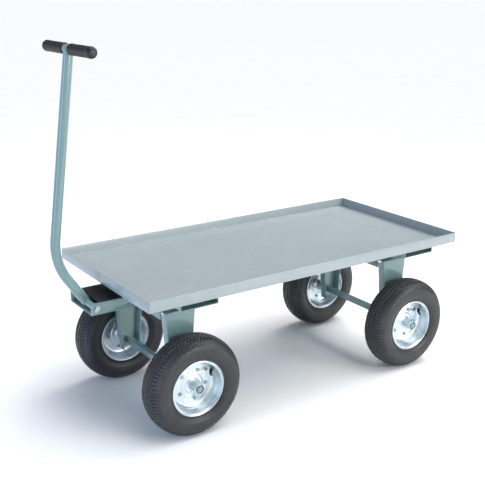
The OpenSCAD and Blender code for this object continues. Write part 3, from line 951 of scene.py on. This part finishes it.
@dataclass
class DrawFrame:
    """The two side bars, floor, black cover plate and pivot bolt."""

    shop: Workshop

    def plates(self) -> None:
        """Builds the bars, the cover and the floor."""
        for node, name, edge, slot in (
                ("draw_bar_left", "draw_bar_left_flat", 1.1 * MM, Slot.FRAME),
                ("draw_bar_right", "draw_bar_right_flat", 1.1 * MM, Slot.FRAME),
                ("draw_cover", "draw_cover_plate", 0.7 * MM, Slot.COVER),
                ("draw_floor", "draw_floor_plate", 0.7 * MM, Slot.FRAME)):
            self.shop.piece(name, box(*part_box(node), edge), Body.STEERING, slot, [node])

    def welds(self) -> None:
        """Builds the weld beads along the bars."""
        floor_low, floor_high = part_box("draw_floor")
        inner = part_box("draw_cover")[1].y - 1.2 * MM
        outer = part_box("draw_bar_left")[1].y + 0.8 * MM
        saddle_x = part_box("front_saddle")[1].x
        beads = []
        for sy in (-1, 1):
            y = sy * inner
            beads.append(weld([Vector((floor_high.x - 4 * MM, y, floor_high.z + 1 * MM)),
                               Vector((floor_high.x - 70 * MM, y, floor_high.z + 1 * MM))], 2 * MM, 320))
            outside = sy * outer
            beads.append(weld([Vector((saddle_x - 100 * MM, outside, floor_low.z + 0.6 * MM)),
                               Vector((saddle_x - 8 * MM, outside, floor_low.z + 0.6 * MM))], 3 * MM, 300))
        self.shop.welds("draw_frame_welds", beads, Body.STEERING)

    def pivot(self) -> None:
        """Builds the pivot bolt with its head, nut and washers."""
        low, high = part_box("pivot_bolt")
        at = joint_at("handle_tilt")
        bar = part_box("draw_bar_left")[1].y
        r = 8 * MM
        parts = [moved(revolve([(0, low.y), (r - 1 * MM, low.y), (r, low.y + 1 * MM), (r, high.y - 3 * MM),
                                (0, high.y - 3 * MM)], 40),
                       Matrix.Translation((at.x, 0, at.z)) @ Matrix.Rotation(-math.pi / 2, 4, "X"))]
        for side in Side:
            face = Vector((at.x, side.value * bar, at.z))
            parts.append(moved(washer(15 * MM, r, 2 * MM), facing_y(face, side)))
            face.y += side.value * 2 * MM
            parts.append(moved(hex_head(27 * MM, high.y - bar - 2 * MM), facing_y(face, side)
                               @ Matrix.Rotation(math.radians(12), 4, "Z")))
        self.shop.piece("pivot_bolt_set", join(*parts), Body.STEERING, Slot.FASTENER,
                        ["pivot_bolt"])

    def build(self) -> None:
        """Builds the whole draw frame."""
        self.plates()
        self.welds()
        self.pivot()


@dataclass
class PullHandle:
    """The gooseneck pole, its pivot sleeve, the T-bar and its grips."""

    shop: Workshop
    foot: float = 124 * MM
    foot_angle: float = 56.0
    bend_r: float = 230 * MM
    pole_angle: float = 97.9
    pole_r: float = 18.5 * MM
    squeeze: float = 0.86

    def path(self) -> list[Vector]:
        """Returns the pole's centre line, from the pivot to the T-bar."""
        at = joint_at("handle_tilt")
        top = centre("tbar")
        points = [at.copy()]

        def straight(angle: float, length: float, steps: int) -> None:
            """Adds a straight stretch."""
            a = math.radians(angle)
            start = points[-1].copy()
            for k in range(1, steps + 1):
                points.append(start + Vector((math.cos(a), 0, math.sin(a))) * (length * k / steps))

        def bend(radius: float, a: float, b: float, steps: int) -> None:
            """Adds a bend that turns from angle a to angle b."""
            start = points[-1].copy()
            for k in range(1, steps + 1):
                c = math.radians(a + (b - a) * k / steps)
                points.append(start + Vector((math.sin(c) - math.sin(math.radians(a)), 0,
                                              math.cos(math.radians(a)) - math.cos(c))) * radius)

        straight(self.foot_angle, self.foot, 6)
        bend(self.bend_r, self.foot_angle, self.pole_angle, 26)
        straight(self.pole_angle, (top - points[-1]).length, 24)
        return points

    def pole(self) -> None:
        """Builds the pole, pinched to an oval towards the T-bar, and its welds."""

        def section(share: float, _: int) -> list[Point]:
            """Returns the pole's section at a share of its length."""
            pinch = max(0.0, (share - 0.72) / 0.28)
            return circle(self.pole_r, 40, 1 - (1 - self.squeeze) * pinch * pinch * (3 - 2 * pinch))

        path = self.path()
        self.shop.piece("handle_pole_tube", sweep(path, section, Vector((0, 1, 0))), Body.HANDLE,
                        Slot.FRAME, ["handle_pole"])
        top = path[-1]
        lean = (path[-1] - path[-2]).normalized()
        beads = []
        for centre_at, axis, r, bar_r, squeeze, steps in (
                (top, -lean, self.pole_r, 16 * MM, self.squeeze, 40),
                (path[0], (path[1] - path[0]).normalized(), self.pole_r * 0.99, 13 * MM, 1.0, 20)):
            side = axis.cross(Vector((0, 1, 0))).normalized()
            ring = []
            for k in range(steps + 1):
                a = 2 * math.pi * k / 40
                y, s = r * squeeze * math.cos(a), r * math.sin(a)
                if abs(s) < bar_r:
                    rise = math.sqrt(bar_r ** 2 - s ** 2)
                else:
                    rise = 0.0
                ring.append(centre_at + Vector((0, y, 0)) + side * s + axis * (rise + 1.0 * MM))
            beads.append(weld(ring, 2.2 * MM, 300))
        self.shop.welds("handle_welds", beads, Body.HANDLE)

    def sleeve(self) -> None:
        """Builds the sleeve that turns on the pivot bolt."""
        low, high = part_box("pivot_sleeve")
        at = joint_at("handle_tilt")
        half, r, bore = high.y, (high.z - low.z) / 2, 8.4 * MM
        profile = fillet([(bore, -half, 0.6 * MM), (r, -half, 1 * MM), (r, half, 1 * MM),
                          (bore, half, 0.6 * MM)], 3)
        self.shop.piece("pivot_sleeve_tube", revolve(profile, 64), Body.HANDLE,
                        Slot.FRAME, ["pivot_sleeve"], place=facing_y(at, Side.LEFT))

    def crossbar(self) -> None:
        """Builds the T-bar and the two grips."""
        low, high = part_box("tbar")
        mid = centre("tbar")
        r, half = (high.z - low.z) / 2, high.y
        profile = fillet([(r - 3 * MM, -half, 0), (r, -half, 0.5 * MM), (r, half, 0.5 * MM),
                          (r - 3 * MM, half, 0)], 2)
        self.shop.piece("tbar_tube", revolve(profile, 56), Body.HANDLE, Slot.FRAME,
                        ["tbar"], place=facing_y(mid, Side.LEFT))
        for side in Side:
            node = f"grip_{side.name.lower()}"
            low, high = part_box(node)
            inner, outer = sorted((abs(low.y), abs(high.y)))
            grip_r = (high.z - low.z) / 2
            length = outer - inner
            lip = 1.2 * MM
            profile = [(r + 0.1 * MM, 0.0)]
            profile += [(grip_r - 2.4 * MM, 0.0), (grip_r - 0.7 * MM, 0.5 * MM), (grip_r, 2.4 * MM),
                        (grip_r, 9 * MM), (grip_r - lip, 11 * MM)]
            ridges = 26
            for k in range(ridges):
                z = 14 * MM + k * (length - 42 * MM) / ridges
                profile += [(grip_r - lip, z), (grip_r - 0.55 * lip, z + 1.2 * MM),
                            (grip_r - 0.55 * lip, z + 3.0 * MM), (grip_r - lip, z + 4.2 * MM)]
            profile += [(grip_r - lip, length - 25 * MM), (grip_r, length - 22 * MM)]
            dome = 13 * MM
            for k in range(9):
                a = math.radians(90 * k / 8)
                profile.append((grip_r - dome * (1 - math.cos(a)), length - dome * (1 - math.sin(a))))
            profile += [(0.0, length), (0.0, length - 4 * MM), (r + 0.1 * MM, length - 4 * MM)]
            at = Vector((mid.x, side.value * inner, mid.z))
            self.shop.piece(node + "_sleeve", revolve(profile, 56), Body.HANDLE, Slot.GRIP,
                            [node], smooth=40, place=facing_y(at, side))

    def build(self) -> None:
        """Builds the whole handle."""
        self.pole()
        self.sleeve()
        self.crossbar()


@dataclass
class WheelPattern:
    """Meshes of one wheel about its own axis, shared by the four wheels. +Z points outwards."""

    radius: float
    width: float
    bead_r: float = 101.6 * MM
    flange_r: float = 111.7 * MM
    bead_u: float = 45.5 * MM
    rim_sheet: float = 2.5 * MM
    bolt_angle: float = -44.0
    bolt_count: int = 5
    bolt_circle: float = 60 * MM
    blocks: int = 84
    segments: int = 420
    meshes: dict[str, bpy.types.Mesh] = field(default_factory=dict)

    def keep(self, name: str, bm: bmesh.types.BMesh) -> None:
        """Stores a mesh under a name and frees its working copy."""
        self.meshes[name] = finished_mesh("wheel_" + name, bm)

    def casing(self, share: float, wall: float = 0.0) -> Point:
        """Returns a point of the tyre's rounded-square section.

        Args:
            share: Place round the section, in degrees; 90 is the middle of the tread.
            wall: How far inside the outer surface the point is.

        Returns:
            Radius and distance from the wheel's centre plane.
        """
        mid = (self.radius + self.bead_r + 0.4 * MM) / 2
        a = math.radians(share)
        power = 0.83
        high = self.radius - mid - wall
        wide = self.width / 2 - wall
        return (mid + high * math.copysign(abs(math.sin(a)) ** power, math.sin(a)),
                wide * math.copysign(abs(math.cos(a)) ** power, math.cos(a)))

    def tread(self, r: float, z: float, angle: float) -> float:
        """Returns how far the tread's grooves sink the tyre's surface at a point.

        Args:
            r: Radius of the plain surface.
            z: Distance from the centre plane.
            angle: Angle round the axle.

        Returns:
            The radial shift, zero or less.
        """
        if r < self.radius - 34 * MM:
            return 0.0
        phase = (angle / (2 * math.pi) * self.blocks) % 1.0
        wide = abs(z)
        depth = 0.0
        zig = (abs(phase - 0.5) - 0.25) * 7 * MM
        for groove in (10.5 * MM, 26 * MM):
            off = abs(wide - groove - zig)
            depth = max(depth, 5 * MM * min(1.0, max(0.0, (3.4 * MM - off) / (1.2 * MM))))
        if r < self.radius - 9 * MM:
            low = self.radius - 30 * MM
            fade = min(1.0, max(0.0, (r - low) / (4 * MM)))
            depth = max(depth, fade * 4.5 * MM * phase)
        elif wide > 33 * MM and phase > 0.62:
            depth = max(depth, 4.5 * MM)
        return -depth

    def tyre(self) -> None:
        """Makes the tyre, with its tread, sidewall rings and beads."""
        outer: list[Point] = []
        low = -52.0
        steps = 132
        for k in range(steps + 1):
            share = low + (180 - 2 * low) * k / steps
            r, z = self.casing(share)
            if r < 122 * MM and r > self.flange_r and abs(z) > 30 * MM:
                z = math.copysign(max(abs(z), 51 * MM - (r - self.flange_r) * 0.02), z)
            if r < self.radius - 34 * MM:
                for ring_r, rise, half in ((173 * MM, 0.9 * MM, 1.5 * MM), (128 * MM, 1.3 * MM, 2.4 * MM),
                                           (118.5 * MM, 1.0 * MM, 1.5 * MM)):
                    swell = max(0.0, 1 - abs(r - ring_r) / half)
                    z -= math.copysign(rise * swell * 0.9, z)
            outer.append((r, z))
        bead = self.bead_u
        seat = self.bead_r + 0.9 * MM
        right = [(seat, bead - 11 * MM), (seat, bead - 0.9 * MM), (self.flange_r, bead + 0.3 * MM)]
        left = [(r, -z) for r, z in reversed(right)]
        inner = [self.casing(share, 7.5 * MM) for share in range(226, -47, -12)]
        profile = right + outer + left + [(r, z) for r, z in inner if abs(z) > 1e-6 or r > self.bead_r]
        self.keep("tyre", revolve(profile, self.segments, self.tread))

    def bolt_spot(self, place: float) -> Matrix:
        """Returns where a bolt goes; half a place more is midway between two bolts."""
        angle = math.radians(self.bolt_angle + 360 / self.bolt_count * place)
        return Matrix.Rotation(angle, 4, "Z") @ Matrix.Translation((self.bolt_circle, 0, 0))

    def rims(self) -> None:
        """Makes the outer and inner pressed rim halves."""
        t = self.rim_sheet
        hub = 21.2 * MM
        well = self.bead_r - 7 * MM
        flange_u, bead_u = 48.5 * MM, self.bead_u
        curl = [(self.flange_r - 3 * MM + 3 * MM * math.cos(math.radians(a)),
                 flange_u + 0.8 * MM + 3 * MM * math.sin(math.radians(a)))
                for a in range(-35, 216, 25)]
        outside = [(self.bead_r + 0.5 * MM, flange_u - 0.6 * MM), (self.bead_r - 1.7 * MM, bead_u - 1 * MM),
                   (self.bead_r - 2.3 * MM, 31 * MM), (well - t + 0.4 * MM, 24.5 * MM),
                   (well - t, 22 * MM), (well - t, 12 * MM), (well - t - 0.8 * MM, 8.6 * MM),
                   (well - t - 3 * MM, 5.6 * MM), (well - t - 6.5 * MM, 3.6 * MM),
                   (well - 11 * MM, t + 0.2 * MM), (well - 14 * MM, t), (48 * MM, t),
                   (46 * MM, t + 0.3 * MM), (43 * MM, t + 2.2 * MM),
                   (40 * MM, t + 3.2 * MM), (31 * MM, t + 3.4 * MM), (28 * MM, t + 4.2 * MM),
                   (25 * MM, t + 7.5 * MM), (23 * MM, t + 9.5 * MM), (hub, t + 10 * MM)]
        inside = [(hub, 0.4 * MM), (well - 9 * MM, 0.4 * MM), (well - 4 * MM, 2 * MM), (well, 6 * MM),
                  (well, 22 * MM), (self.bead_r, 30 * MM), (self.bead_r + 0.6 * MM, bead_u - 0.5 * MM),
                  (self.bead_r + 3 * MM, bead_u + 0.3 * MM), (self.flange_r - 1.2 * MM, bead_u + 0.7 * MM)]
        pads = []
        for k in range(self.bolt_count):
            spot = self.bolt_spot(k + 0.5) @ Matrix.Translation((0, 0, t - 0.2 * MM))
            pads.append(moved(revolve([(0, 0), (14 * MM, 0), (12.4 * MM, 1.0 * MM), (11 * MM, 1.2 * MM),
                                       (9.5 * MM, 0.9 * MM), (0, 0.6 * MM)], 40), spot))
        self.keep("rim_outer", join(revolve(inside + curl + outside, 128), *pads))
        mirrored = moved(revolve(inside + curl + outside, 128), Matrix.Scale(-1, 4, (0, 0, 1)))
        bmesh.ops.recalc_face_normals(mirrored, faces=mirrored.faces)
        self.keep("rim_inner", mirrored)

    def hub(self, node: str) -> None:
        """Makes the hub tube and the two sealed bearings.

        Args:
            node: The CAD hub that gives the size.
        """
        low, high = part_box(node)
        half, r = (high.y - low.y) / 2, (high.z - low.z) / 2
        bore = r - 3.5 * MM
        profile = fillet([(bore, -half, 0.5 * MM), (r, -half, 1.2 * MM), (r, half, 1.6 * MM),
                          (bore, half, 1.2 * MM), (bore, half - 20 * MM, 0),
                          (bore - 2 * MM, half - 20 * MM, 0), (bore - 2 * MM, 12 * MM - half, 0),
                          (bore, 12 * MM - half, 0)], 3)
        self.keep("hub", revolve(profile, 72))
        axle = 9.6 * MM
        parts = []
        for z, out in ((half - 9 * MM, 1), (-half + 12 * MM, -1)):
            face = z if out > 0 else -half
            back = face - out * 12 * MM
            ring = [(axle, back), (bore - 0.1 * MM, back), (bore - 0.1 * MM, face),
                    (bore - 2.4 * MM, face), (bore - 2.9 * MM, face - out * 0.9 * MM),
                    (axle + 3.2 * MM, face - out * 0.9 * MM), (axle + 2.7 * MM, face), (axle, face)]
            parts.append(revolve(ring, 56))
        self.keep("bearings", join(*parts))

    def fasteners(self) -> None:
        """Makes the five rim bolts with heads, washers and nuts."""
        parts = []
        t = self.rim_sheet
        for k in range(self.bolt_count):
            spot = self.bolt_spot(k)
            parts.append(moved(washer(8 * MM, 4 * MM, 1.2 * MM), spot @ Matrix.Translation((0, 0, t))))
            parts.append(moved(hex_head(13.4 * MM, 4.6 * MM), spot @ Matrix.Translation((0, 0, t + 1.2 * MM))
                               @ Matrix.Rotation(math.radians(17 * k), 4, "Z")))
            flip = spot @ Matrix.Translation((0, 0, -t)) @ Matrix.Rotation(math.pi, 4, "X")
            parts.append(moved(hex_head(13.4 * MM, 6 * MM), flip))
            stud = revolve([(0, 0), (4 * MM, 0), (4 * MM, 7.2 * MM), (3.2 * MM, 8 * MM), (0, 8 * MM)], 24)
            parts.append(moved(stud, flip))
        self.keep("bolts", join(*parts))

    def valve(self) -> None:
        """Makes the rubber valve stem with its cap, bent outwards from the rim."""
        angle = Matrix.Rotation(math.radians(-152), 4, "Z")
        well = self.bead_r - 9.6 * MM
        path = [Vector((well + 6 * MM, 0, 13 * MM)), Vector((well, 0, 13 * MM))]
        for k in range(1, 9):
            a = math.radians(62 * k / 8)
            path.append(Vector((well - 11 * MM * math.sin(a), 0, 13 * MM + 11 * MM * (1 - math.cos(a)))))
        ahead = (path[-1] - path[-2]).normalized()
        path += [path[-1] + ahead * (3 * MM * k) for k in range(1, 5)]
        radii = [8.0, 7.8, 7.2, 6.6, 6.2, 5.9, 5.7, 5.6, 5.5, 5.4, 5.3, 5.2, 4.6, 4.4]

        def section(_: float, i: int) -> list[Point]:
            """Returns the stem's section at a point of its path."""
            return circle(radii[min(i, len(radii) - 1)] * MM, 24)

        stem = sweep(path, section, Vector((0, 1, 0)))
        cap = [path[-1] + ahead * (d * MM) for d in (-5, -4.6, 3.2, 4.4, 4.8)]
        cap_r = [4.2, 5.0, 4.8, 4.0, 2.6]
        stem = join(stem, sweep(cap, lambda _, i: circle(cap_r[i] * MM, 16), Vector((0, 1, 0))))
        self.keep("valve", moved(stem, angle))

    def build(self) -> None:
        """Makes every shared mesh."""
        self.tyre()
        self.rims()
        self.hub("front_left_hub")
        self.fasteners()
        self.valve()


@dataclass
class Wheel:
    """One wheel: tyre, inner tube, rim halves, hub, bearings, bolts and valve."""

    shop: Workshop
    pattern: WheelPattern
    body: Body
    side: Side

    def build(self) -> None:
        """Places the shared meshes on this wheel's axle."""
        name = self.body.value.removesuffix("_wheel")
        place = facing_y(joint_at(name + "_roll"), self.side)
        rows = (("tyre", Slot.TYRE, 34), ("rim_outer", Slot.RIM, 50), ("rim_inner", Slot.RIM, 50),
                ("hub", Slot.RIM, 40), ("bearings", Slot.STEEL, 40), ("bolts", Slot.FASTENER, 32),
                ("valve", Slot.TUBE, 50))
        for part, slot, smooth in rows:
            replaces = [] if part == "valve" else [f"{name}_{part}"]
            self.shop.piece(f"{name}_{part}_detail", self.pattern.meshes[part], self.body, slot, replaces,
                            smooth, place)
        self.shop.dress(f"{name}_tube", Slot.TUBE)


@dataclass
class Studio:
    """The pale floor, the soft lights and the camera."""

    lens: float = 64.43
    azimuth: float = 34.15
    elevation: float = 17.08
    roll: float = -0.05
    offset: tuple[float, float] = (2.06454, 2.87797)
    height: float = 1.67646

    def camera(self) -> None:
        """Sets the camera, placed from the middle of the tray."""
        deck = centre("deck_tray")
        data = bpy.data.cameras.new("studio_camera")
        data.lens = self.lens
        data.sensor_width = 36.0
        data.clip_end = 200.0
        camera = placed("studio_camera", data)
        camera.location = Vector((deck.x + self.offset[0], deck.y + self.offset[1], self.height))
        a, e = math.radians(self.azimuth), math.radians(self.elevation)
        ahead = Vector((-math.cos(e) * math.sin(a), -math.cos(e) * math.cos(a), -math.sin(e)))
        camera.rotation_mode = "QUATERNION"
        turn = ahead.to_track_quat("-Z", "Y")
        camera.rotation_quaternion = turn @ Matrix.Rotation(math.radians(self.roll), 3, "Z").to_quaternion()
        bpy.context.scene.camera = camera

    def floor(self) -> None:
        """Lays the pale floor, with the faint mottle of studio paper."""
        bm = bmesh.new()
        bmesh.ops.create_grid(bm, x_segments=2, y_segments=2, size=90)
        mesh = finished_mesh("studio_floor", bm)
        n = Nodes("studio paper")
        paper = n.ramp(n.noise(3, 3, 0.5), [(0.3, (0.93, 0.93, 0.93, 1)), (0.7, (0.95, 0.95, 0.95, 1))])
        n.shade(Base_Color=paper, Roughness=0.9, Specular_IOR_Level=0.1)
        mesh.materials.append(n.material)
        floor = placed("studio_floor", mesh)
        floor.location.z = -0.5 * MM

    def softbox(self, name: str, at: Sequence[float], aim: Sequence[float], size: Sequence[float],
                power: float, colour: Sequence[float] = (1, 1, 1)) -> None:
        """Hangs one rectangular soft light.

        Args:
            name: The light's name.
            at: Where it hangs.
            aim: The point that it faces.
            size: Its width and height.
            power: Its power in watts.
            colour: Its linear colour.
        """
        data = bpy.data.lights.new(name, "AREA")
        data.shape = "RECTANGLE"
        data.size, data.size_y = size
        data.energy = power
        data.color = colour
        lamp = placed(name, data)
        lamp.location = at
        lamp.rotation_mode = "QUATERNION"
        lamp.rotation_quaternion = (Vector(aim) - Vector(at)).to_track_quat("-Z", "Y")

    def build(self) -> None:
        """Builds the studio."""
        self.camera()
        self.floor()
        self.sky()
        bpy.context.scene.view_settings.view_transform = "Standard"
        self.softbox("top_softbox", (-2.2, -0.6, 3.2), (-0.3, 0, 0.5), (2.6, 1.6), 60)
        self.softbox("near_softbox", (-1.6, 4.2, 1.8), (0, 0, 0.35), (2.6, 1.8), 110, (1, 0.99, 0.96))
        self.softbox("front_softbox", (4.6, 0.7, 1.5), (0.6, 0, 0.6), (0.9, 2.6), 68, (0.3, 0.55, 1.0))
        self.sun()

    def sky(self) -> None:
        """Sets the world: white at the horizon and a soft grey overhead."""
        world = bpy.data.worlds.new("studio")
        world.use_nodes = True
        tree = world.node_tree
        coords = tree.nodes.new("ShaderNodeTexCoord")
        split = tree.nodes.new("ShaderNodeSeparateXYZ")
        tree.links.new(coords.outputs["Generated"], split.inputs["Vector"])
        ramp = tree.nodes.new("ShaderNodeValToRGB")
        ramp.color_ramp.elements[0].position = 0.04
        ramp.color_ramp.elements[0].color = (1, 1, 1, 1)
        ramp.color_ramp.elements[1].position = 0.2
        ramp.color_ramp.elements[1].color = (0.37, 0.38, 0.4, 1)
        tree.links.new(split.outputs["Z"], ramp.inputs["Fac"])
        tree.links.new(ramp.outputs["Color"], tree.nodes["Background"].inputs["Color"])
        bpy.context.scene.world = world

    def sun(self) -> None:
        """Adds a wide, even light from above that keeps the floor pale."""
        data = bpy.data.lights.new("overhead_light", "SUN")
        data.energy = 2.2
        data.angle = math.radians(56)
        lamp = placed("overhead_light", data)
        lamp.rotation_euler = (math.radians(-12), math.radians(-18), 0)


def main() -> None:
    """Builds the wagon, piece by piece, and the studio round it."""
    logging.basicConfig(level=logging.INFO, format="%(name)s: %(message)s")
    shop = Workshop()
    DeckTray(shop).build()
    for name in ("front_crossmember", "rear_crossmember"):
        CrossMember(shop, name).build()
    AxleUnit(shop, "front", Body.STEERING).build()
    AxleUnit(shop, "rear", Body.CHASSIS).build()
    RearSpacer(shop).build()
    Turntable(shop).build()
    DrawFrame(shop).build()
    PullHandle(shop).build()
    low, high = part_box("front_left_tyre")
    pattern = WheelPattern((high.z - low.z) / 2, high.y - low.y)
    pattern.build()
    for body, side in ((Body.FRONT_LEFT, Side.LEFT), (Body.FRONT_RIGHT, Side.RIGHT),
                       (Body.REAR_LEFT, Side.LEFT), (Body.REAR_RIGHT, Side.RIGHT)):
        Wheel(shop, pattern, body, side).build()
    Studio().build()
    log.info("%d pieces made", shop.made)


if __name__ == "__main__":
    main()
